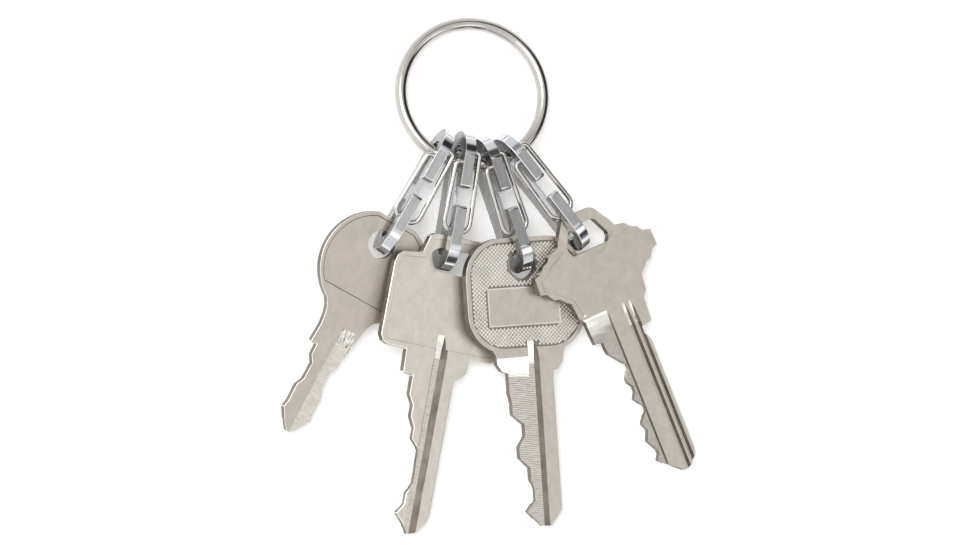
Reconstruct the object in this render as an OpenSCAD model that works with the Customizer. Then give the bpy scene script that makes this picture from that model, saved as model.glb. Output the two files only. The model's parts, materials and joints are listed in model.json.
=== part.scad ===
// Key organiser: a welded ring that carries four snap links, each with a
// sprung wire gate and one key. It lies on a table: +Z is up, the keys point
// towards -Y, and the ring's far edge, the links and the key tips touch Z = 0.

/* [Ring] */
// Outside diameter of the ring
ring_od = 30.2; // [28:0.1:34]
// Diameter of the ring's wire
ring_wire_d = 2.4; // [2:0.1:2.8]
// Lean of the ring, from its far edge on the table up to the links
ring_tilt = 8.2; // [7:0.1:9]

/* [Snap links] */
// Length of a link
link_l = 27; // [26:0.5:30]
// Depth of a link, from its back to its front face
link_d = 9.6; // [9:0.1:10.5]
// Thickness of the plate that a link is cut from
link_t = 2.1; // [1.8:0.1:2.4]
// Width of the closed side of the slot
spine_w = 3.0; // [2.6:0.1:3.2]
// Width of the open side of the slot
arm_w = 2.6; // [2.4:0.1:2.8]
// Metal left at each end of the slot
end_w = 2.8; // [2.4:0.1:3]
// Corner radius inside the slot
slot_r = 1.4; // [1:0.1:1.9]
// Distance from the ring end to the opening in the front arm
gap_start = 11.2; // [10.5:0.1:11.5]
// Width of the opening in the front arm
gap_w = 3.4; // [3:0.1:3.8]
// Rounding of the arm ends at the opening
arm_end_r = 0.6; // [0.3:0.1:1]

/* [Wire gates] */
// Diameter of the gate's wire
gate_wire_d = 1.0; // [0.8:0.05:1.1]
// Distance from the link's middle to the left leg
left_leg = 2.1; // [2.05:0.05:2.5]
// Distance from the link's middle to the top of the right leg
right_leg = 2.35; // [2.25:0.05:2.7]
// Angle at which the right leg spreads towards the closed end
leg_flare = 3.5; // [0:0.5:5]
// Distance from the ring end to the left foot, which is the gate's pivot
pivot_foot = 6.2; // [5.8:0.1:6.6]
// Distance from the ring end to the right foot, which gives the gate its spring
spring_foot = 3.9; // [3.6:0.1:4.2]
// Depth of the pivot foot behind the front face
pivot_depth = 1.65; // [1.6:0.05:1.7]
// Distance from the ring end to the gate's closed end
gate_reach = 19.4; // [19:0.1:19.6]
// Depth of the gate's closed end behind the front face, against the lower arm
gate_depth = 3.2; // [3.15:0.05:3.4]
// Radius of the gate's rounded corners, at the middle of the wire
gate_r = 1.9; // [1.6:0.1:2.1]
// Running clearance round both feet of the gate
foot_play = 0.06; // [0.03:0.01:0.1]
// How far the gate swings in before it meets the spine
gate_swing = 11; // [8:1:12]

/* [Keys] */
// Thickness of every key
key_t = 2.0; // [1.8:0.1:2.1]
// Depth of the sunk field on a key's bow
relief = 0.15; // [0.1:0.05:0.2]
// Depth of the milled grooves in a blade
groove_deep = 0.6; // [0.3:0.1:0.7]
// Radius of the cutter that mills the grooves, seen where a groove runs out
cutter_r = 22; // [10:1:30]
// Distance between the cuts of a full-size key
cut_pitch = 4.15; // [3.8:0.05:4.3]
// Length of the flat bottom of a cut
cut_flat = 2.2; // [1.5:0.1:2.4]
// Radius of the round bow of key 1
round_bow_r = 10.75; // [10.5:0.05:11]
// Diameter of the hole in key 1
round_hole_d = 5.4; // [5:0.1:6]
// Cut depths of key 2, from the bow to the tip
key_2_cuts = [0, 1.1, 2.1, 4.0, 4.1, 2.9]; // each [0:0.1:4.2]
// Cut depths of key 3, from the bow to the tip
key_3_cuts = [0, 0.4, 2.7, 1.3, 3.3, 3.9]; // each [0:0.1:4]

/* [Layout on the table] */
// Place of each link round the ring, from -Y
station = [-32.2, -11, 11, 32.2]; // [-45:0.1:45]
// Free play between the ring and the end of each link's slot
ring_slack = [1.0, 2.2, 1.3, 0.45]; // [0.1:0.1:2.5]
// Direction of each link, from -Y
link_turn = [-30, -9.3, 19, 38.9]; // [-40:0.1:45]
// Lean of each link and its key, right side down
lean = [6, 9.6, 11.2, 8]; // [4:0.1:12]
// Direction of each key, from -Y
key_turn = [-27.2, -9.8, 4.6, 23.1]; // [-30:0.1:30]
// Roll of each key about its length, right side down
key_roll = [10.5, 10.7, 11.2, 11.5]; // [5:0.5:12]
// Height of each key in its link's slot, as it lies over its left neighbour
key_lift = [0.12, 0.7, 0.8, 1.2]; // [0.05:0.05:1.6]

/* [Hidden] */
$fn = 64;

ring_wire_r = ring_wire_d / 2;
ring_r = ring_od / 2 - ring_wire_r;
ring_z = ring_wire_r + ring_r * sin(ring_tilt);
// Where the ring's middle stands, with the middle of the whole bunch at the origin.
ring_at = [-3.71, 34.61];

end_r = link_d / 2;
slot_w = link_d - spine_w - arm_w;
slot_l = link_l - 2 * end_w;
slot_mid = (spine_w - arm_w) / 2;

gate_wire_r = gate_wire_d / 2;
gate_fall = atan((gate_depth - pivot_depth) / (gate_reach - pivot_foot));
gate_len = (gate_reach - pivot_foot) / cos(gate_fall);
foot_offset = pivot_foot - spring_foot;
// How far a foot reaches into the plate, and the radius of the bend below it.
foot_depth = 0.45;
foot_in = link_t / 2 - foot_depth;
foot_bend_r = 0.9;
// Extra room round the spring foot in its slot.
slot_play = 0.02;
// How far the blended joint between a bend and a straight of the wire stands out.
bead = 0.006;

// Distance from where a key hangs to its tip, and how far its lowest corner is
// to the right of its middle line.
tip_at = [41, 50.5, 48.4, 46];
tip_side = [1.9, 5.7, 5.1, 5.8];

// ---------- placing ----------

// Height of the middle of a link that stands on the table and leans.
function stand(i) = end_r * cos(lean[i]) + link_t / 2 * sin(lean[i]);

// Height of a key's middle in the slot, from the middle of the link.
function key_mid(i) = -end_r + spine_w + key_lift[i] + key_t / 2;

// Slope at which a key's tip comes down to the table.
function key_slope(i) =
  asin((stand(i) + key_mid(i) * cos(lean[i]) - key_t / 2
        - tip_side[i] * sin(key_roll[i])) / tip_at[i]);

function ring_x(i) = ring_at[0] + ring_r * sin(station[i]);
function ring_y(i) = ring_at[1] - ring_r * cos(station[i]) * cos(ring_tilt);

// Distance from a link's middle to the ring wire in its slot.
function wire_at(i) = link_l / 2 - end_w - ring_wire_r - ring_slack[i];

// A link's own frame: X across the plate, Y to the ring end, Z to the front.
module in_link(i) {
  translate([ring_x(i), ring_y(i), stand(i)])
    rotate([0, 0, link_turn[i]])
      rotate([0, lean[i], 0])
        translate([0, -wire_at(i), 0])
          children();
}

// A key's own frame: the origin is the end of the link's slot, where it hangs.
module in_key(i) {
  translate([ring_x(i), ring_y(i), stand(i)])
    rotate([0, 0, link_turn[i]])
      rotate([0, lean[i], 0])
        translate([0, -wire_at(i) - link_l / 2 + end_w, key_mid(i)])
          rotate([0, -lean[i], 0])
            rotate([0, 0, key_turn[i] - link_turn[i]])
              rotate([key_slope(i), 0, 0])
                rotate([0, key_roll[i], 0])
                  children();
}

// ---------- ring ----------

module key_ring() {
  color("silver")
    translate([ring_at[0], ring_at[1], ring_z])
      rotate([-ring_tilt, 0, 0])
        rotate_extrude($fn = 96)
          translate([ring_r, 0])
            circle(r = ring_wire_r, $fn = 32);
}

// ---------- links ----------

// Stadium outline of a link, seen from its side: X to the front, Y to the ring.
module link_outline() {
  square([link_d, link_l - link_d], center = true);
  for (end = [-1, 1])
    translate([0, end * (link_l - link_d) / 2])
      circle(r = end_r);
}

module round_box(w, h, r) {
  square([w - 2 * r, h], center = true);
  square([w, h - 2 * r], center = true);
  for (x = [-1, 1], y = [-1, 1])
    translate([x * (w / 2 - r), y * (h / 2 - r)])
      circle(r = r);
}

// The opening in the front arm, cut round both arm ends and their rounded corners.
module gap_outline() {
  top = link_l / 2 - gap_start;
  arm_mid = end_r - arm_w / 2;
  difference() {
    translate([arm_mid - arm_w, top - gap_w - arm_end_r])
      square([2 * arm_w, gap_w + 2 * arm_end_r]);
    for (y = [top + arm_w / 2, top - gap_w - arm_w / 2])
      translate([arm_mid, y])
        round_box(arm_w, arm_w, arm_end_r);
  }
}

module link(i) {
  in_link(i)
    difference() {
      rotate([90, 0, 90])
        translate([0, 0, -link_t / 2])
          linear_extrude(link_t)
            rotate(90)
              mirror([0, 1])
                difference() {
                  link_outline();
                  translate([slot_mid, 0])
                    round_box(slot_w, slot_l, slot_r);
                  gap_outline();
                }
      foot_holes();
    }
}

// Lays its children on a link's pivot, with the gate turned in by an angle.
module at_pivot(turn) {
  translate([0, link_l / 2 - pivot_foot, end_r - pivot_depth])
    rotate([gate_fall + turn, 0, 0])
      children();
}

// The pivot foot's round hole, and the slot that the spring foot swings in.
module foot_holes() {
  hole_r = gate_wire_r + foot_play;
  at_pivot(0)
    translate([-link_t, 0, 0])
      rotate([0, 90, 0])
        cylinder(r = hole_r, h = link_t - foot_in + foot_play);
  for (step = [0:0.5:1])
    at_pivot(step * gate_swing)
      translate([foot_in - foot_play, foot_offset, 0])
        rotate([0, 90, 0])
          cylinder(r = hole_r + slot_play, h = link_t);
}

// ---------- gates ----------

module gate(i) {
  in_link(i)
    at_pivot(0)
      gate_wire();
}

// A bent wire: X across, -Y down to the closed end; the pivot is the X axis.
module gate_wire() {
  left = end_corner(left_leg, 0, 0);
  right = end_corner(right_leg, foot_offset, leg_flare);
  leg(-1, left_leg, 0, 0);
  leg(1, right_leg, foot_offset, leg_flare);
  translate([-left, -gate_len, 0])
    rotate([0, 90, 0])
      cylinder(r = gate_wire_r, h = left + right);
}

// Where a leg starts below its foot's bend, and where it meets the end's bend.
function leg_start(out, rise, flare) =
  [out - foot_bend_r + foot_bend_r * cos(flare), rise - foot_bend_r + foot_bend_r * sin(flare)];
function leg_end_y(flare) = -gate_len + gate_r + gate_r * sin(flare);

// Distance from the middle to the centre of the closed end's bend.
function end_corner(out, rise, flare) =
  leg_start(out, rise, flare)[0]
  + (leg_start(out, rise, flare)[1] - leg_end_y(flare)) * tan(flare)
  - gate_r * cos(flare);

module bend(r, from, angle) {
  rotate([0, 0, from])
    rotate_extrude(angle = angle)
      translate([r, 0])
        circle(r = gate_wire_r, $fn = 32);
}

// The blended joint between a bend and a straight, at a point of the wire.
module weld(at, turn) {
  translate(at)
    rotate([90, 0, turn])
      sphere(r = gate_wire_r + bead);
}

// One leg: its foot, the bend below the foot, and the bend to the closed end.
module leg(side, out, rise, flare) {
  start = leg_start(out, rise, flare);
  corner = end_corner(out, rise, flare);
  length = (start[1] - leg_end_y(flare)) / cos(flare);
  mirror([side < 0 ? 1 : 0, 0, 0]) {
    translate([foot_in, rise, 0])
      rotate([0, 90, 0])
        cylinder(r = gate_wire_r, h = out - foot_bend_r - foot_in);
    translate([out - foot_bend_r, rise - foot_bend_r, 0])
      bend(foot_bend_r, flare, 90 - flare);
    translate([start[0], start[1], 0])
      rotate([0, 0, flare])
        rotate([90, 0, 0])
          cylinder(r = gate_wire_r, h = length);
    translate([corner, -gate_len + gate_r, 0])
      bend(gate_r, -90, 90 + flare);
    if (flare > 0) {
      weld([out - foot_bend_r, rise, 0], 90);
      weld([start[0], start[1], 0], flare);
      weld([corner + gate_r * cos(flare), leg_end_y(flare), 0], flare);
      weld([corner, -gate_len, 0], 90);
    }
  }
}

// ---------- keys ----------

// Left edge of a blade: flats at the cut depths, joined by slopes.
function cut_edge(cuts, x, first, pitch, flat) =
  [for (n = [0:len(cuts) - 1], side = [1, -1])
    [x + cuts[n], first - n * pitch + side * flat / 2]];

// Outline of a key that is the same on both sides of x = mid.
function both_sides(right, mid) = concat(
  [for (p = right) [mid + p[0], p[1]]],
  [for (n = [len(right) - 1:-1:0]) [mid - right[n][0], right[n][1]]]);

module plate(t = key_t) {
  translate([0, 0, -t / 2])
    linear_extrude(t)
      children();
}

// A groove milled along a blade: a wall on its left, a floor, a slope up to the
// right, and a round run-out where the cutter lifts. Side -1 is underneath.
module groove(x, floor_w, slope_w, from, to, side = 1, deep = groove_deep) {
  over = 0.3;
  run = sqrt(2 * cutter_r * deep - deep * deep);
  wide = floor_w + slope_w * (deep + over) / deep;
  mirror([0, 0, side < 0 ? 1 : 0])
    translate([x, from - run, key_t / 2]) {
      rotate([90, 0, 0])
        linear_extrude(from - run - to)
          polygon([[0, -deep], [floor_w, -deep], [wide, over], [0, over]]);
      translate([0, 0, cutter_r - deep])
        rotate([0, 90, 0])
          rotate_extrude(angle = 90, $fn = 128)
            polygon([[0, 0], [cutter_r, 0], [cutter_r, floor_w],
                     [cutter_r - deep - over, wide], [0, wide]]);
    }
}

// A field sunk into both faces of a key's bow.
module sunk(deep = relief) {
  for (side = [0, 1])
    mirror([0, 0, side])
      translate([0, 0, key_t / 2 - deep])
        linear_extrude(2 * deep)
          children();
}

module key_1() {
  beyond = 40;
  recess_deep = 0.35;
  mid = 0.25;
  bow_y = -5.9;
  flat_top = 4;
  rim = 0.75;
  field_end = -12.5;
  tip = -41;
  hole_x = -0.5;
  hole_y = 1.4 - round_hole_d / 2;
  neck = [[-6.4, -13], [-5.3, -15.2], [-4.5, -16.5], [-4.1, -18], [-3.9, -20],
          [-4.1, -23.8], [3.4, -23.9], [4.3, -18.7], [4.6, -17], [5.2, -15.8],
          [7, -13]];
  blade = [[3, -20], [3, -24.2], [2.95, -26.1], [2.05, -27.4], [2.1, -30.8],
           [2.85, -32.4], [2.8, -35.8], [3.1, -37.2], [1.3, tip + 0.9], [0.4, tip]];
  color("tan") in_key(0)
    difference() {
      union() {
        plate()
          intersection() {
            translate([mid, bow_y]) circle(r = round_bow_r, $fn = 96);
            translate([-beyond / 2, flat_top - beyond]) square(beyond);
          }
        plate()
          polygon(neck);
        plate()
          polygon(both_sides(blade, mid));
      }
      sunk()
        intersection() {
          translate([mid, bow_y]) circle(r = round_bow_r - rim, $fn = 96);
          translate([-beyond / 2, field_end]) square([beyond, flat_top - rim - field_end]);
        }
      translate([hole_x, hole_y, -key_t]) cylinder(d = round_hole_d, h = 2 * key_t);
      groove(0.4, 3.2, 0, -18.7, tip - 1, 1, recess_deep);
      groove(-1.6, 1.1, 0.4, -22, tip - 1, -1);
    }
}

module key_2() {
  hole_w = 10.4;
  hole_h = 4.7;
  hole_r = 2.3;
  hole_y = -0.95;
  mid = 1.9;
  tip = -53.4;
  edge = -2.5;
  bow = [[4.9, 3.95], [5.9, 3.3], [6.9, -0.1], [10.9, -0.6], [11.8, -1.5],
         [12.2, -3], [12.3, -16.9], [11.7, -18.1], [10.6, -18.6], [6.5, -18.7],
         [6.2, -21.3], [5.2, -22.5], [4, -23.3]];
  field = [[3.9, 2.95], [4.9, 2.7], [6, -1], [10.4, -1.5], [11, -2.1],
           [11.2, -3], [11.3, -16.7], [10.9, -17.3], [10.3, -17.6], [1, -17.6]];
  color("tan") in_key(1)
    difference() {
      union() {
        plate()
          polygon(both_sides(bow, mid));
        plate()
          polygon([[-4.8, -18], [-4.6, -23.2], [edge - 0.2, -23.5], [0, -23.5], [0, -18]]);
        plate()
          polygon(concat(
            [[edge, -21]],
            cut_edge(key_2_cuts, edge, -26, cut_pitch, cut_flat),
            [[edge + 1.7, -49.8], [edge + 4.2, tip + 0.9], [edge + 4.6, tip],
             [edge + 6.4, tip + 0.6], [edge + 8, tip + 2.8], [edge + 8.4, tip + 4.5],
             [edge + 8.4, -21]]));
      }
      sunk()
        polygon(both_sides(field, mid));
      translate([mid, hole_y, -key_t])
        linear_extrude(2 * key_t)
          round_box(hole_w, hole_h, hole_r);
      groove(1.2, 1.3, 1.2, -14.3, tip - 1);
      groove(-0.4, 1.4, 0.3, -20, tip - 1, -1);
      groove(3.6, 1.2, 0.3, -20, tip - 1, -1);
    }
}

module key_3() {
  recess_deep = 0.35;
  hole_d = 5.4;
  hole_x = 0.2;
  hole_y = -1.25;
  rim = 0.9;
  mid = 0.5;
  tip = -51.4;
  edge = -4.1;
  bow_w = 24.4;
  bow_h = 21.9;
  bow_r = 7.5;
  bow_y = -7;
  color("tan") in_key(2)
    difference() {
      union() {
        plate()
          translate([mid, bow_y])
            round_box(bow_w, bow_h, bow_r);
        plate()
          polygon(both_sides([[8.4, -16], [7, -18.4], [6.8, -20], [5.9, -21.4], [4.4, -22]], mid));
        plate()
          polygon(concat(
            [[edge, -20]],
            cut_edge(key_3_cuts, edge, -24.6, cut_pitch, cut_flat),
            [[edge + 2.2, -48.4], [edge + 5, tip + 0.1], [edge + 6.8, tip],
             [edge + 9.2, tip + 3], [edge + 9.2, -20]]));
      }
      // a sunk field round a plain panel
      sunk()
        difference() {
          translate([mid, bow_y])
            round_box(bow_w - 2 * rim, bow_h - 2 * rim, bow_r - rim);
          translate([0, -9.2]) round_box(15, 7.4, 0.5);
        }
      translate([hole_x, hole_y, -key_t]) cylinder(d = hole_d, h = 2 * key_t);
      groove(0.2, 1.3, 0.9, -15.2, tip - 1);
      groove(-0.6, 1.4, 0.3, -20.6, tip - 1, -1);
      // the blade is milled down beside its cuts
      groove(edge - 4, 4.4 - edge, 0, -18.9, tip - 1, 1, recess_deep);
    }
}

module key_4() {
  mid = 1.5;
  tip = -49.5;
  edge = -3.2;
  bow = [[2.9, 4.1], [3.7, 3.6], [6.1, 0], [6.5, -0.9], [8.6, -1.3], [9.4, -2.3],
         [10.8, -2.9], [11.7, -4], [13.3, -4.4], [13.4, -7.7], [12.1, -8.1],
         [11.1, -9.6], [9.9, -9.9], [8.9, -11], [8.1, -11.5], [7.7, -14.9],
         [6.7, -15.9], [6.4, -20.6], [4.7, -20.9]];
  inner = [[2.5, -4.5], [5.6, -1.9], [9, -3.5], [10.4, -4.8], [12.2, -5.5],
           [12.4, -7.4], [10.4, -8.6], [9.1, -9.7], [7.4, -11], [6.9, -13],
           [6.6, -14.9], [5.2, -14.5], [1, -14.5]];
  hole = [[2.5, 1.9], [3, 1.6], [4.6, -1.4], [4.6, -2.3], [3.9, -3.4]];
  blade = [[edge, -18], [edge, -22.2], [-3, -23.3], [-0.3, -26.4], [-0.3, -27.4],
           [-1.4, -28.9], [-1.4, -29.8], [-0.6, -30.9], [-0.7, -32], [-1.5, -33.2],
           [-0.1, -35.1], [-0.1, -36], [-1.8, -38.1], [-1.2, -39.7], [-2.1, -41.6],
           [-0.8, -43.9], [-0.8, -44.7], [-1.6, -45.8], [1.6, tip + 1], [2.8, tip],
           [3.9, tip], [5.2, tip + 0.9], [6.2, tip + 2.2], [6.4, tip + 3.5],
           [6.4, -23.8], [5.6, -22.4], [5.6, -18]];
  color("tan") in_key(3)
    difference() {
      union() {
        plate(key_t - 2 * relief)
          polygon(both_sides(bow, mid));
        plate(key_t - 2 * relief)
          polygon(blade);
        plate()
          polygon(both_sides(inner, mid));
      }
      translate([0, 0, -key_t])
        linear_extrude(2 * key_t)
          polygon(both_sides(hole, mid));
      groove(3.2, 0.7, 0.6, -14.8, tip - 1);
      groove(4.7, 0.6, 0.6, -14.8, tip - 1);
      groove(-0.5, 1.4, 0.3, -20, tip - 1, -1);
      groove(edge - 4, 3.8 - edge, 0.4, -14.6, tip - 1, 1, 0.5);
    }
}

key_ring();
color("silver") link(0);  // link_1
color("silver") link(1);  // link_2
color("silver") link(2);  // link_3
color("silver") link(3);  // link_4
color("gray") gate(0);  // gate_1
color("gray") gate(1);  // gate_2
color("gray") gate(2);  // gate_3
color("gray") gate(3);  // gate_4
key_1();
key_2();
key_3();
key_4();
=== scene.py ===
"""Looks of the key organiser: a ring, four snap links with wire gates, and four keys.

Each piece is built in a local frame in millimetres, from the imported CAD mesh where
its shape is intricate, and stored in world coordinates on its own body."""
import json
import math
import bmesh
import bpy
from mathutils import Matrix, Vector


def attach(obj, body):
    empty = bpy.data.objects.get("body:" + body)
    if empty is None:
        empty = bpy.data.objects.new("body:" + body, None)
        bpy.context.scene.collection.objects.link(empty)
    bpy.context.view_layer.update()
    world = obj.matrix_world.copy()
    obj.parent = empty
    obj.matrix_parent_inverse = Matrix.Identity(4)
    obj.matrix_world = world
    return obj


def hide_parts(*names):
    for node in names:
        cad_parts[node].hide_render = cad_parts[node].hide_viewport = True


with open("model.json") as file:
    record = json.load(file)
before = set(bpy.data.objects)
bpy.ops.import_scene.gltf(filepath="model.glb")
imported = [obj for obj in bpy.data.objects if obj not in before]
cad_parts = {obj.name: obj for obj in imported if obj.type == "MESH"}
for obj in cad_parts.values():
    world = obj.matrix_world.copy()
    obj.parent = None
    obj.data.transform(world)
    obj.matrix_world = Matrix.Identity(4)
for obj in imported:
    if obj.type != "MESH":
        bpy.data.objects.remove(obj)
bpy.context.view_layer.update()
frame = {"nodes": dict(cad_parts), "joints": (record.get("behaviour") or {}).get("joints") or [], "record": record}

MM = 0.001
COLLECTION = bpy.context.scene.collection


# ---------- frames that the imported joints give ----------

JOINTS = {j["name"]: j for j in frame["joints"]}
MOUNTS = {m["name"]: m for m in frame["record"]["mounts"]}


def axes(origin, x, y, z):
    """The matrix of a local frame, in metres."""
    m = Matrix((x, y, z)).transposed().to_4x4()
    m.translation = origin
    return m


def key_frame(k):
    """A key's frame: it hangs at the origin, its blade runs to -Y, and +Z is its upper face."""
    joint = JOINTS[f"key_{k}_swing"]
    z = Vector(joint["axis"]).normalized()
    y = -Vector(MOUNTS[f"blade_{k}"]["axis"])
    y = (y - z * y.dot(z)).normalized()
    return axes(Vector(joint["pos_m"]), y.cross(z), y, z)


def gate_frame(k):
    """A link's frame moved to its gate's pivot: X along the pivot, Y to the ring end, Z to the front."""
    joint = JOINTS[f"gate_{k}_open"]
    x = Vector(joint["axis"]).normalized()
    y = Vector((0, 0, 1)).cross(x).normalized()
    return axes(Vector(joint["pos_m"]), x, y, x.cross(y))


# ---------- materials ----------

def noise(tree, coords, scale, detail=3.0, rough=0.5, stretch=(1, 1, 1)):
    mapping = tree.nodes.new("ShaderNodeMapping")
    mapping.inputs["Scale"].default_value = stretch
    tree.links.new(coords, mapping.inputs["Vector"])
    tex = tree.nodes.new("ShaderNodeTexNoise")
    tex.inputs["Scale"].default_value = scale
    tex.inputs["Detail"].default_value = detail
    tex.inputs["Roughness"].default_value = rough
    tree.links.new(mapping.outputs[0], tex.inputs["Vector"])
    return tex.outputs["Fac"]


def spread(tree, value, low, high):
    """A 0-1 texture value spread over a range."""
    node = tree.nodes.new("ShaderNodeMapRange")
    node.inputs["From Min"].default_value = 0.3
    node.inputs["From Max"].default_value = 0.7
    node.inputs["To Min"].default_value = low
    node.inputs["To Max"].default_value = high
    tree.links.new(value, node.inputs["Value"])
    return node.outputs[0]


def metal(name, colour, dull, rough, brush=(1, 1, 1), brush_scale=9000, brush_bump=0.05,
          brush_depth=0.00002, mill=None, cloud=(260, (1, 1, 1))):
    """A metal with cloudy tarnish, a fine directional grain and faint handling marks."""
    mat = bpy.data.materials.new(name)
    mat.use_nodes = True
    tree = mat.node_tree
    shader = tree.nodes["Principled BSDF"]
    shader.inputs["Metallic"].default_value = 1.0
    place = tree.nodes.new("ShaderNodeAttribute")
    place.attribute_name = "local"
    coords = place.outputs["Vector"]
    clouds = noise(tree, coords, cloud[0], 5, 0.6, cloud[1])
    grain = noise(tree, coords, brush_scale, 2, 0.5, brush)
    marks = noise(tree, coords, 2600, 6, 0.7, (1, 0.35, 1))
    mix = tree.nodes.new("ShaderNodeMix")
    mix.data_type = "RGBA"
    mix.inputs[6].default_value = (*colour, 1)
    mix.inputs[7].default_value = (*dull, 1)
    tree.links.new(spread(tree, clouds, 0, 1), mix.inputs[0])
    tree.links.new(mix.outputs[2], shader.inputs["Base Color"])
    add = tree.nodes.new("ShaderNodeMath")
    tree.links.new(spread(tree, grain, rough[0], rough[1]), add.inputs[0])
    tree.links.new(spread(tree, marks, -0.03, 0.04), add.inputs[1])
    tree.links.new(add.outputs[0], shader.inputs["Roughness"])
    bump = tree.nodes.new("ShaderNodeBump")
    bump.inputs["Strength"].default_value = brush_bump
    bump.inputs["Distance"].default_value = brush_depth
    tree.links.new(grain, bump.inputs["Height"])
    last = bump
    if mill:
        pitch, strength = mill
        wave = tree.nodes.new("ShaderNodeTexWave")
        wave.bands_direction = "Y"
        wave.inputs["Scale"].default_value = 1 / (pitch * MM) / 3.18
        wave.inputs["Distortion"].default_value = 1.2
        wave.inputs["Detail"].default_value = 2
        wave.inputs["Detail Scale"].default_value = 2
        tree.links.new(coords, wave.inputs["Vector"])
        ripples = tree.nodes.new("ShaderNodeBump")
        ripples.inputs["Strength"].default_value = strength
        ripples.inputs["Distance"].default_value = 0.00003
        tree.links.new(wave.outputs["Fac"], ripples.inputs["Height"])
        tree.links.new(bump.outputs[0], ripples.inputs["Normal"])
        last = ripples
    tree.links.new(last.outputs[0], shader.inputs["Normal"])
    return mat


EVEN = (1, 1, 1)
BRUSHED = (9, 0.25, 9)

STEEL = metal("ring_polished", (0.56, 0.545, 0.52), (0.47, 0.455, 0.435), (0.09, 0.16),
              EVEN, 4000, 0.05)
LINK = metal("link_satin", (0.52, 0.525, 0.53), (0.40, 0.405, 0.41), (0.30, 0.42),
             BRUSHED, 900, 0.2, cloud=(500, (5, 0.6, 5)))
LINK_POLISH = metal("link_polished", (0.68, 0.70, 0.73), (0.62, 0.64, 0.67), (0.10, 0.17),
                    EVEN, 4000, 0.04)
# The link's rounded outer edges: steel lightened, partly for wear and partly as a painted highlight.
LINK_EDGE = metal("link_edge_wear_and_sheen", (0.84, 0.85, 0.87), (0.78, 0.79, 0.81), (0.14, 0.2),
                  EVEN, 4000, 0.04)
# The link's sides, the front arms' ends and its inner roundings: darkened steel as painted shade.
LINK_SIDE_SHADE = metal("link_side_painted_shade", (0.42, 0.415, 0.41), (0.28, 0.275, 0.27), (0.2, 0.32),
                  BRUSHED, 900, 0.1)
WIRE = metal("gate_wire", (0.62, 0.60, 0.575), (0.53, 0.51, 0.49), (0.1, 0.18),
             EVEN, 4000, 0.05)

# The tone of each key's faces, from key 1 to key 4. These are matched by sampling to the
# photo's view under this studio light, which is brighter on key 1 than on key 4. So they
# partly make up for the light, and are not four measured platings.
KEY_TONES = [(0.51, 0.47, 0.42), (0.67, 0.635, 0.58), (0.67, 0.63, 0.575), (0.86, 0.80, 0.72)]
TARNISH = 0.86
KEY_FACES = [metal(f"key_nickel_{k + 1}", tone, [TARNISH * c for c in tone], (0.32, 0.44),
                   EVEN, 6000, 0.3, cloud=(700, (1, 0.7, 1)))
             for k, tone in enumerate(KEY_TONES)]
# The groove's sloped wall and a key's inner roundings: a dark tone as painted shade.
KEY_SLOPE_SHADE = metal("key_groove_slope_painted_shade", (0.16, 0.14, 0.12), (0.09, 0.08, 0.07), (0.38, 0.5),
                  (1, 0.1, 1), 3000, 0.2)
# A key's side walls and the inner roundings on its low walls: a dark tone as painted shade.
KEY_SIDE_SHADE = metal("key_side_painted_shade", (0.24, 0.215, 0.19), (0.13, 0.115, 0.10), (0.35, 0.5),
                 (1, 1, 0.2), 5000, 0.3)
# A key's rounded outer edges, key 3's knurl and panel line: metal lightened, partly for wear and partly as a
# painted highlight.
KEY_EDGE_WEAR_AND_SHEEN = metal("key_worn_edge_and_sheen", (0.88, 0.86, 0.82), (0.76, 0.74, 0.70), (0.24, 0.34),
                 EVEN, 7000, 0.08)
KEY_CUT = metal("key_milled", (0.72, 0.69, 0.645), (0.52, 0.49, 0.45), (0.27, 0.38),
                EVEN, 6000, 0.2, mill=(0.35, 0.7), cloud=(900, (1, 3, 1)))
# The ramps left by the cutter: metal lightened, partly bare cut metal and partly a painted highlight.
KEY_RAMP_AND_SHEEN = metal("key_cutter_ramp_and_sheen", (0.88, 0.865, 0.84), (0.76, 0.74, 0.71), (0.16, 0.24),
                 EVEN, 6000, 0.1, mill=(0.3, 0.1))
# The low walls round a sunk field and their outer roundings: a dark tone as painted shade.
KEY_RIM_SHADE = metal("key_rim_wall_painted_shade", (0.18, 0.16, 0.135), (0.10, 0.09, 0.075), (0.3, 0.4),
                EVEN, 6000, 0.1)
# The floor between key 3's knurl diamonds: a dark tone as painted shade.
KEY_FIELD_SHADE = metal("key_knurl_floor_painted_shade", (0.36, 0.33, 0.29), (0.24, 0.215, 0.19), (0.35, 0.45),
                  EVEN, 6000, 0.1)
KEY_ROUGH = metal("key_rough_pocket", (0.92, 0.90, 0.87), (0.16, 0.15, 0.13), (0.2, 0.45),
                  (3, 0.5, 3), 1500, 0.5, cloud=(1500, (2.4, 0.5, 2.4)))


# ---------- meshes ----------

def new_piece(name, bm, matrix, materials, smooth_angle=None):
    """Makes an object from a mesh in millimetres that is drawn in a local frame.

    The mesh keeps its local place as an attribute, which the materials follow."""
    me = bpy.data.meshes.new(name)
    bmesh.ops.scale(bm, vec=(MM, MM, MM), verts=bm.verts)
    bm.to_mesh(me)
    bm.free()
    local = me.attributes.new("local", "FLOAT_VECTOR", "POINT")
    local.data.foreach_set("vector", [c for v in me.vertices for c in v.co])
    me.transform(matrix)
    for mat in materials:
        me.materials.append(mat)
    for p in me.polygons:
        p.use_smooth = True
    ob = bpy.data.objects.new(name, me)
    COLLECTION.objects.link(ob)
    if smooth_angle:
        me.set_sharp_from_angle(angle=math.radians(smooth_angle))
    return ob


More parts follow.
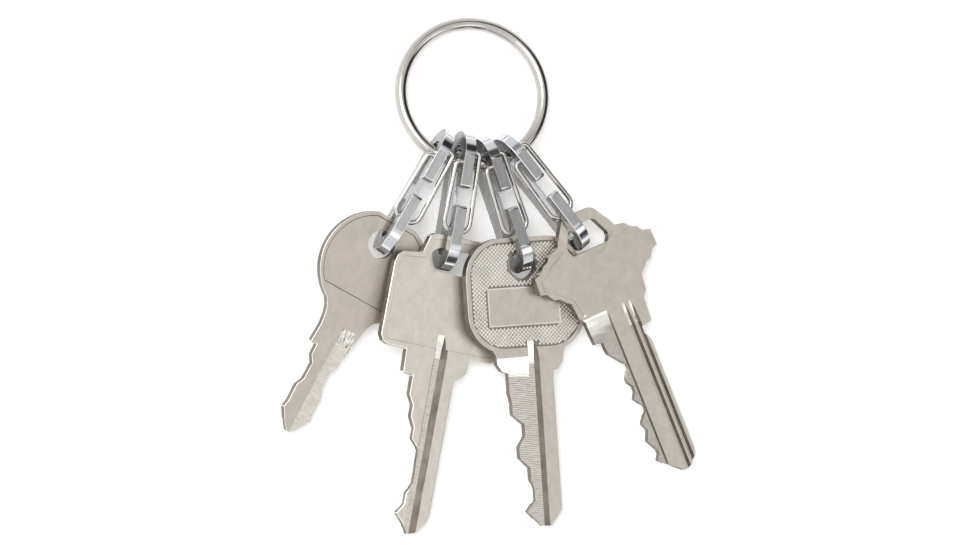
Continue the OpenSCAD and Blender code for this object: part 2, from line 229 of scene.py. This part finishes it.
def cad_mesh(node, matrix):
    """A CAD node's mesh in a local frame, in millimetres, with its flat faces whole again."""
    bm = bmesh.new()
    bm.from_mesh(frame["nodes"][node].data)
    bmesh.ops.transform(bm, matrix=Matrix.Scale(1 / MM, 4) @ matrix.inverted(), verts=bm.verts)
    bmesh.ops.remove_doubles(bm, verts=bm.verts, dist=1e-4)
    bmesh.ops.dissolve_degenerate(bm, edges=bm.edges, dist=1e-4)
    bmesh.ops.dissolve_limit(bm, angle_limit=math.radians(0.4), verts=bm.verts, edges=bm.edges)
    bmesh.ops.recalc_face_normals(bm, faces=bm.faces)
    return bm


def soften(bm, width, angle, segments, dark, material, which=None):
    """Rounds the edges that are sharper than an angle.

    Outer edges get the given material, and inner ones the dark one, which is painted shade in the creases."""
    edges = [e for e in bm.edges
             if len(e.link_faces) == 2 and e.calc_face_angle() > math.radians(angle)
             and (which is None or which(e))]
    if not edges:
        return
    bmesh.ops.bevel(bm, geom=edges, offset=width, offset_type="OFFSET", segments=segments,
                    profile=0.5, affect="EDGES", clamp_overlap=True, material=material)
    for face in bm.faces:
        if face.material_index == material:
            bends = [1 if e.is_convex else -1 for e in face.edges
                     if len(e.link_faces) == 2 and e.calc_face_angle() > math.radians(5)]
            if sum(bends) < 0:
                face.material_index = dark


def sweep(points, normal, radius, sides=20):
    """A round wire along a flat path."""
    bm = bmesh.new()
    loops = []
    for n, p in enumerate(points):
        before = points[max(n - 1, 0)]
        after = points[min(n + 1, len(points) - 1)]
        side = (after - before).normalized().cross(normal)
        loops.append([bm.verts.new(p + radius * (math.cos(a) * side + math.sin(a) * normal))
                      for a in (2 * math.pi * s / sides for s in range(sides))])
    for a, b in zip(loops, loops[1:]):
        for s in range(sides):
            t = (s + 1) % sides
            bm.faces.new((a[s], a[t], b[t], b[s]))
    bm.faces.new(loops[0])
    bm.faces.new(reversed(loops[-1]))
    bmesh.ops.recalc_face_normals(bm, faces=bm.faces)
    return bm


def arc(cx, cy, r, start, end, steps=8):
    return [Vector((cx + r * math.cos(math.radians(a)), cy + r * math.sin(math.radians(a)), 0))
            for a in (start + (end - start) * s / steps for s in range(steps + 1))]


# ---------- ring ----------

RING_R = 13.9
RING_WIRE_R = 1.2
RING_AT = MOUNTS["ring_eye"]


def make_ring():
    z = Vector(RING_AT["axis"]).normalized()
    y = z.cross(Vector((1, 0, 0))).normalized()
    matrix = axes(Vector(RING_AT["pos_m"]), Vector((1, 0, 0)), y, z)
    bm = bmesh.new()
    turns, sides = 160, 36
    loops = []
    for n in range(turns):
        a = 2 * math.pi * n / turns
        out = Vector((math.cos(a), math.sin(a), 0))
        loops.append([bm.verts.new(out * (RING_R + RING_WIRE_R * math.cos(b))
                                   + Vector((0, 0, RING_WIRE_R * math.sin(b))))
                      for b in (2 * math.pi * s / sides for s in range(sides))])
    for n in range(turns):
        a, b = loops[n], loops[(n + 1) % turns]
        for s in range(sides):
            t = (s + 1) % sides
            bm.faces.new((a[s], b[s], b[t], a[t]))
    bmesh.ops.recalc_face_normals(bm, faces=bm.faces)
    ring = new_piece("ring", bm, matrix, [STEEL])
    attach(ring, "ring")
    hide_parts("key_ring")


# ---------- links and gates ----------

GATE_WIRE_R = 0.5
LEFT_LEG, RIGHT_LEG, FLARE = 2.1, 2.35, 3.5
FOOT_RISE = 2.3
FOOT_IN = 0.6
FOOT_BEND_R = 0.9
GATE_R = 1.9
GATE_DOWN, GATE_BACK = 13.2, 1.55
GATE_LEN = math.hypot(GATE_DOWN, GATE_BACK)


def gate_path():
    """The gate's wire from its left foot round to its right foot, about its pivot."""
    flare = math.radians(FLARE)
    right = RIGHT_LEG - FOOT_BEND_R + FOOT_BEND_R * math.cos(flare)
    right_y = FOOT_RISE - FOOT_BEND_R + FOOT_BEND_R * math.sin(flare)
    leg_end_y = -GATE_LEN + GATE_R + GATE_R * math.sin(flare)
    corner = right + (right_y - leg_end_y) * math.tan(flare) - GATE_R * math.cos(flare)
    path = [Vector((-FOOT_IN, 0, 0))]
    path += arc(-LEFT_LEG + FOOT_BEND_R, -FOOT_BEND_R, FOOT_BEND_R, 90, 180)
    path += arc(-LEFT_LEG + GATE_R, -GATE_LEN + GATE_R, GATE_R, 180, 270)
    path += arc(corner, -GATE_LEN + GATE_R, GATE_R, -90, FLARE)
    path += arc(RIGHT_LEG - FOOT_BEND_R, FOOT_RISE - FOOT_BEND_R, FOOT_BEND_R, FLARE, 90)
    path.append(Vector((FOOT_IN, FOOT_RISE, 0)))
    return path


# The material slots of a link: satin front, edges lightened partly for wear and partly as a painted highlight,
# sides and arm ends painted dark as shade, and polished steel.
FRONT, EDGE_WEAR_AND_SHEEN, PAINTED_SHADE, POLISHED = range(4)
# Where the front arm's upper end lies along a link; its end face is painted dark as shade.
ARM_END = (-5.3, -4.0)


def make_link(k):
    matrix = gate_frame(k)
    bm = cad_mesh(f"link_{k}", matrix)
    for face in bm.faces:
        front = face.normal.z > 0.999 and face.calc_center_median().z > 0
        arm_end = face.normal.y < -0.3 and ARM_END[0] < face.calc_center_median().y < ARM_END[1]
        # The sides and the front arm's end face are painted dark as shade.
        if abs(face.normal.x) > 0.9 or arm_end:
            face.material_index = PAINTED_SHADE
        else:
            face.material_index = FRONT if front else POLISHED
    # Rounded outer edges are lightened, partly for wear and partly as a painted highlight; inner roundings get
    # painted shade.
    soften(bm, 0.16, 35, 3, dark=PAINTED_SHADE, material=EDGE_WEAR_AND_SHEEN)
    link = new_piece(f"link_plate_{k}", bm, matrix, [LINK, LINK_EDGE, LINK_SIDE_SHADE, LINK_POLISH], 25)
    flatten(link)
    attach(link, f"link_{k}")
    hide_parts(f"link_{k}")

    fall = Matrix.Rotation(math.atan2(GATE_BACK, GATE_DOWN), 4, "X")
    bm = sweep(gate_path(), Vector((0, 0, 1)), GATE_WIRE_R)
    gate = new_piece(f"gate_wire_{k}", bm, matrix @ fall, [WIRE], 50)
    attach(gate, f"gate_{k}")
    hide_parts(f"gate_{k}")


# A face larger than this, in square metres, is shaded flat.
FLAT_AREA = 5e-6


def flatten(ob):
    """Keeps the large faces flat where a rounding meets them."""
    edges = {e.key: e for e in ob.data.edges}
    for p in ob.data.polygons:
        if p.area > FLAT_AREA:
            for key in p.edge_keys:
                edges[key].use_edge_sharp = True
    mod = ob.modifiers.new("flat faces", "WEIGHTED_NORMAL")
    mod.keep_sharp = True
    mod.weight = 100


# ---------- keys ----------

KEY_T = 2.0
RELIEF = 0.15


# The material slots of a key. The first holds the key's own tone from KEY_FACES. SIDE, SLOPE, RIM and FLOOR hold
# dark tones painted as shade; EDGE and RAMP hold metal lightened partly as a painted highlight.
FACE, EDGE, CUT, SIDE, SLOPE, RAMP, ROUGH, RIM, FLOOR = range(9)
KEY_MATERIALS = [KEY_EDGE_WEAR_AND_SHEEN, KEY_CUT, KEY_SIDE_SHADE, KEY_SLOPE_SHADE, KEY_RAMP_AND_SHEEN, KEY_ROUGH, KEY_RIM_SHADE, KEY_FIELD_SHADE]
# The widths asked for: a key's worn outline, the rounding of its low walls, and the rest.
# Blender narrows roundings that would overlap. The last pass comes out at almost no width
# on keys 2 and 4, which leaves edges sharp there, and many faces of zero area.
OUTLINE_WORN, WALL_WORN, BLADE_WORN = 0.22, 0.07, 0.05
# Edges of key 2 shorter than this are merged before its edges are rounded.
TINY_EDGE = 0.03


def on_face(e):
    """Whether an edge lies in one of a key's outer faces."""
    return min(abs(v.co.z) for v in e.verts) > KEY_T / 2 - 0.01


def on_outline(e):
    """Whether an edge is on a key's outline or round its hole, and in an outer face.

    Most of key 4's outline lies 0.15 mm lower, so only a few of its edges count."""
    return on_face(e) and any(
        f.material_index == SIDE and abs(f.normal.z) < 0.4 for f in e.link_faces)


def on_field(e):
    """Whether an edge is on the low wall round a sunk field."""
    return any(abs(f.normal.z) < 0.2 and f.material_index == RIM for f in e.link_faces)


def in_blade(e):
    """Whether an edge touches neither a rounding made so far nor a low wall."""
    return all(f.material_index not in (EDGE, RIM) for f in e.link_faces)


def make_key(k):
    matrix = key_frame(k)
    bm = cad_mesh(f"key_{k}", matrix)
    if k == 2:
        bmesh.ops.dissolve_degenerate(bm, edges=bm.edges, dist=TINY_EDGE)
    for face in bm.faces:
        depth = KEY_T / 2 - abs(face.calc_center_median().z)
        upright = abs(face.normal.z) < 0.4
        sloping = 0.4 < abs(face.normal.z) < 0.95
        milled = not upright and depth > RELIEF + 0.02
        ramp = not upright and face.normal.y < -0.02 and depth > 0.01
        # Side walls, low walls, groove slopes and key 3's knurl floor are painted dark as shade; ramps are
        # lightened, partly as a painted highlight.
        if upright and depth > 0.2:
            face.material_index = SIDE
        elif upright:
            face.material_index = RIM
        elif sloping:
            face.material_index = SLOPE
        elif ramp:
            face.material_index = ROUGH if k == 1 else RAMP
        elif k == 3 and abs(depth - RELIEF) < 0.02:
            face.material_index = FLOOR
        elif milled:
            face.material_index = CUT
    # Rounded outer edges are lightened, partly for wear and partly as a painted highlight; the low walls'
    # roundings and inner roundings get painted shade.
    soften(bm, OUTLINE_WORN, 40, 4, dark=SLOPE, material=EDGE, which=on_outline)
    soften(bm, WALL_WORN, 40, 2, dark=SIDE, material=RIM, which=on_field)
    soften(bm, BLADE_WORN, 30, 2, dark=SLOPE, material=EDGE, which=in_blade)
    ob = new_piece(f"key_blank_{k}", bm, matrix, [KEY_FACES[k - 1], *KEY_MATERIALS], 20)
    flatten(ob)
    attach(ob, f"key_{k}")
    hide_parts(f"key_{k}")
    return matrix


# The knurl of key 3: rows of small diamonds in the sunk field round the panel.
KNURL_PITCH = 0.8
FIELD = (0.5, -7.0, 22.6, 20.1, 6.6)
PANEL = (0.0, -9.2, 15.0, 7.4, 0.5)
HOLE = (0.2, -1.25, 2.7)
# Where the groove comes into the field on the upper face: its sides, and where it starts.
GROOVE_LEFT, GROOVE_RIGHT, GROOVE_FROM = -0.1, 2.6, -16.0
FIELD_END = -16.9


def in_round_box(x, y, box, margin):
    """Whether a point is inside a rounded box that is shrunk by a margin."""
    cx, cy, w, h, r = box
    dx = abs(x - cx) - (w / 2 - r)
    dy = abs(y - cy) - (h / 2 - r)
    out = math.hypot(max(dx, 0), max(dy, 0)) + min(max(dx, dy), 0)
    return out < r - margin


def make_knurl(matrix):
    bm = bmesh.new()
    half = KNURL_PITCH / 2
    top = KEY_T / 2
    rows = int(13 / half)
    for side in (1, -1):
        for i in range(-rows, rows + 1):
            for j in range(-rows, rows + 1):
                if (i + j) % 2:
                    continue
                x, y = FIELD[0] + i * half, FIELD[1] + j * half
                if not in_round_box(x, y, FIELD, half * 0.35):
                    continue
                if in_round_box(x, y, PANEL, -half * 0.35):
                    continue
                if math.hypot(x - HOLE[0], y - HOLE[1]) < HOLE[2] + half * 1.1:
                    continue
                if side == 1 and GROOVE_LEFT < x < GROOVE_RIGHT and y < GROOVE_FROM:
                    continue
                if y < FIELD_END:
                    continue
                diamond(bm, x, y, side * (top - RELIEF - 0.03), side * (top - 0.01), half)
    bmesh.ops.recalc_face_normals(bm, faces=bm.faces)
    # The diamonds are lightened, partly for wear and partly as a painted highlight.
    ob = new_piece("key_knurl_3", bm, matrix, [KEY_EDGE_WEAR_AND_SHEEN], 20)
    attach(ob, "key_3")


def make_panel_line(matrix):
    """The thin raised line round the plain panel of key 3."""
    cx, cy, w, h, _ = PANEL
    bm = bmesh.new()
    for side in (1, -1):
        z = side * (KEY_T / 2 - 0.03)
        outer, inner = [], []
        for inset, loop in ((0.0, outer), (0.3, inner)):
            for sx, sy in ((1, 1), (-1, 1), (-1, -1), (1, -1)):
                x, y = cx + sx * (w / 2 - inset), cy + sy * (h / 2 - inset)
                loop.append((bm.verts.new((x, y, z)), bm.verts.new((x, y, z + side * 0.06))))
        for s in range(4):
            t = (s + 1) % 4
            for (a, b), (c, d) in ((outer[s], outer[t]), (inner[s], inner[t])):
                bm.faces.new((a, c, d, b))
            for level in (0, 1):
                bm.faces.new((outer[s][level], outer[t][level], inner[t][level], inner[s][level]))
    bmesh.ops.recalc_face_normals(bm, faces=bm.faces)
    # The line is lightened, partly for wear and partly as a painted highlight.
    ob = new_piece("key_panel_line_3", bm, matrix, [KEY_EDGE_WEAR_AND_SHEEN], 20)
    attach(ob, "key_3")


def diamond(bm, x, y, low, high, half):
    """A blunt four-sided point."""
    base = half * 0.98
    tip = half * 0.3
    rings = []
    for z, r in ((low, base), (high, tip)):
        rings.append([bm.verts.new((x + r * dx, y + r * dy, z))
                      for dx, dy in ((1, 0), (0, 1), (-1, 0), (0, -1))])
    a, b = rings
    for s in range(4):
        t = (s + 1) % 4
        bm.faces.new((a[s], a[t], b[t], b[s]))
    bm.faces.new(b)
    bm.faces.new(reversed(a))


# ---------- table, light and camera ----------

TABLE_SIZE = 900
TABLE_GLOW = 0.25


def make_stage():
    bm = bmesh.new()
    bmesh.ops.create_grid(bm, x_segments=40, y_segments=40, size=TABLE_SIZE)
    floor = new_piece("table_top", bm, Matrix.Identity(4), [])
    mat = bpy.data.materials.new("table_white")
    mat.use_nodes = True
    tree = mat.node_tree
    shader = tree.nodes["Principled BSDF"]
    shader.inputs["Base Color"].default_value = (0.93, 0.93, 0.93, 1)
    shader.inputs["Roughness"].default_value = 0.7
    shader.inputs["Emission Color"].default_value = (1, 1, 1, 1)
    shader.inputs["Emission Strength"].default_value = TABLE_GLOW
    floor.data.materials.append(mat)


# The studio round the table: (direction, inner and outer angle, brightness added).
STUDIO_LEVEL = 0.95
STUDIO_DARKEST = 0.03
STUDIO = [
    ((-0.80, -0.05, 0.60), 22, 62, 0.35),
    ((0.22, -0.48, 0.84), 7, 15, 0.8),
    ((0.67, -0.22, 0.71), 7, 15, 1.6),
    ((0.95, 0.10, 0.32), 30, 44, -0.90),
    ((0.48, 0.60, 0.64), 12, 20, -0.86),
    ((0.10, 0.62, 0.78), 6, 14, -0.60),
    ((0.20, -0.93, 0.30), 10, 24, -0.88),
]


SOFTBOX_AT = (-0.35, 0.2, 0.9)
SOFTBOX_SIZE = 0.5
SOFTBOX_WATTS = 3.5


def make_light():
    world = bpy.data.worlds.new("studio")
    bpy.context.scene.world = world
    world.use_nodes = True
    tree = world.node_tree
    direction = tree.nodes.new("ShaderNodeTexCoord").outputs["Generated"]
    level = None
    for toward, inner, outer, amount in STUDIO:
        dot = tree.nodes.new("ShaderNodeVectorMath")
        dot.operation = "DOT_PRODUCT"
        dot.inputs[1].default_value = Vector(toward).normalized()
        tree.links.new(direction, dot.inputs[0])
        patch = tree.nodes.new("ShaderNodeMapRange")
        patch.interpolation_type = "SMOOTHSTEP"
        patch.inputs["From Min"].default_value = math.cos(math.radians(outer))
        patch.inputs["From Max"].default_value = math.cos(math.radians(inner))
        patch.inputs["To Max"].default_value = amount
        tree.links.new(dot.outputs["Value"], patch.inputs["Value"])
        add = tree.nodes.new("ShaderNodeMath")
        add.inputs[1].default_value = STUDIO_LEVEL
        tree.links.new(patch.outputs[0], add.inputs[0])
        if level:
            tree.links.new(level, add.inputs[1])
        level = add.outputs[0]
    floor = tree.nodes.new("ShaderNodeMath")
    floor.operation = "MAXIMUM"
    floor.inputs[1].default_value = STUDIO_DARKEST
    tree.links.new(level, floor.inputs[0])
    back = tree.nodes["Background"]
    back.inputs["Color"].default_value = (1, 0.99, 0.975, 1)
    tree.links.new(floor.outputs[0], back.inputs["Strength"])

    data = bpy.data.lights.new("softbox", "AREA")
    data.size = SOFTBOX_SIZE
    data.energy = SOFTBOX_WATTS
    lamp = bpy.data.objects.new("softbox", data)
    COLLECTION.objects.link(lamp)
    lamp.location = SOFTBOX_AT
    lamp.rotation_euler = (-lamp.location).to_track_quat("-Z", "Y").to_euler()


# The camera looks down on the table, from the left and from the keys' end.
FROM_LEFT, FROM_KEYS = 12, 4.5
# The picture's middle, in millimetres right of and above the ring's middle.
AIM_RIGHT, AIM_UP = 3.23, -34.55
PIXELS_PER_MM = 5.23
FRAME_W = 978
CAMERA_AT = 1.5
SENSOR = 36


def make_camera():
    toward = Vector((-math.tan(math.radians(FROM_LEFT)),
                     -math.tan(math.radians(FROM_KEYS)), 1)).normalized()
    up = (Vector((0, 1, 0)) - toward * toward.y).normalized()
    right = up.cross(toward)
    centre = Vector(RING_AT["pos_m"]) + (AIM_RIGHT * right + AIM_UP * up) * MM
    data = bpy.data.cameras.new("camera")
    data.sensor_width = SENSOR
    data.lens = SENSOR * CAMERA_AT / (FRAME_W / PIXELS_PER_MM * MM)
    data.clip_end = 10
    ob = bpy.data.objects.new("camera", data)
    COLLECTION.objects.link(ob)
    ob.matrix_world = axes(centre + CAMERA_AT * toward, right, up, toward)
    bpy.context.scene.camera = ob


make_camera()
make_stage()
make_light()
make_ring()
for number in range(1, 5):
    make_link(number)
    key_matrix = make_key(number)
    if number == 3:
        make_knurl(key_matrix)
        make_panel_line(key_matrix)

bpy.context.scene.view_settings.view_transform = "Standard"
